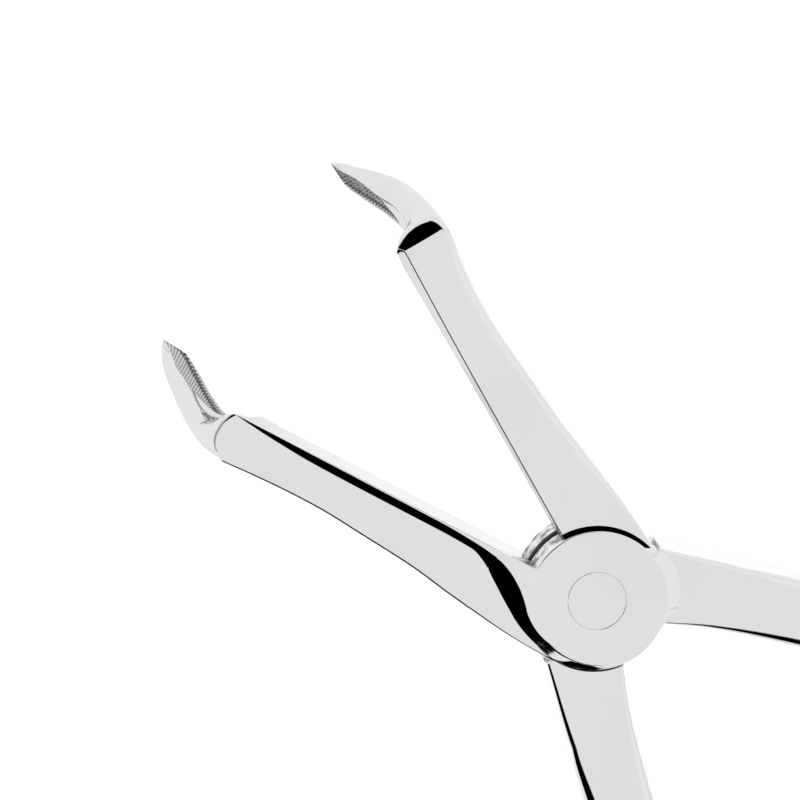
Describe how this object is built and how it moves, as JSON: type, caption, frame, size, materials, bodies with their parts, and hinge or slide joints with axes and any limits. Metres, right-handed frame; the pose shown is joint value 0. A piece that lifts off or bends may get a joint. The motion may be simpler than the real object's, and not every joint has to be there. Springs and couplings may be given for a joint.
{
  "type": "dental extraction forceps",
  "caption": "Polished steel tooth extraction forceps with long tapering jaws, down-turned serrated beaks, a round lap joint with a flush rivet, and bowed handles that open and close.",
  "frame": {"origin": "on the joint pin's axis, at the face of the front half's round joint plate", "axes": "+X between the jaws, away from the handles; +Z out of the front plate along the pin, the beaks turn down towards -Z; +Y towards the front half's jaw"},
  "size_m": [0.1664, 0.1014, 0.0189],
  "materials": {
    "polished_steel": "mirror polished stainless steel",
    "pin_steel": "ground flush with the plates, fine satin"
  },
  "bodies": {
    "front": {"front_half": "polished_steel", "joint_pin": "pin_steel"},
    "back": {"back_half": "polished_steel"}
  },
  "joints": [
    {"name": "jaw_hinge", "type": "hinge", "parent": "front", "child": "back", "pos_m": [0, 0, -0.0044], "axis": [0, 0, 1], "range_deg": [-10, 29]}
  ]
}
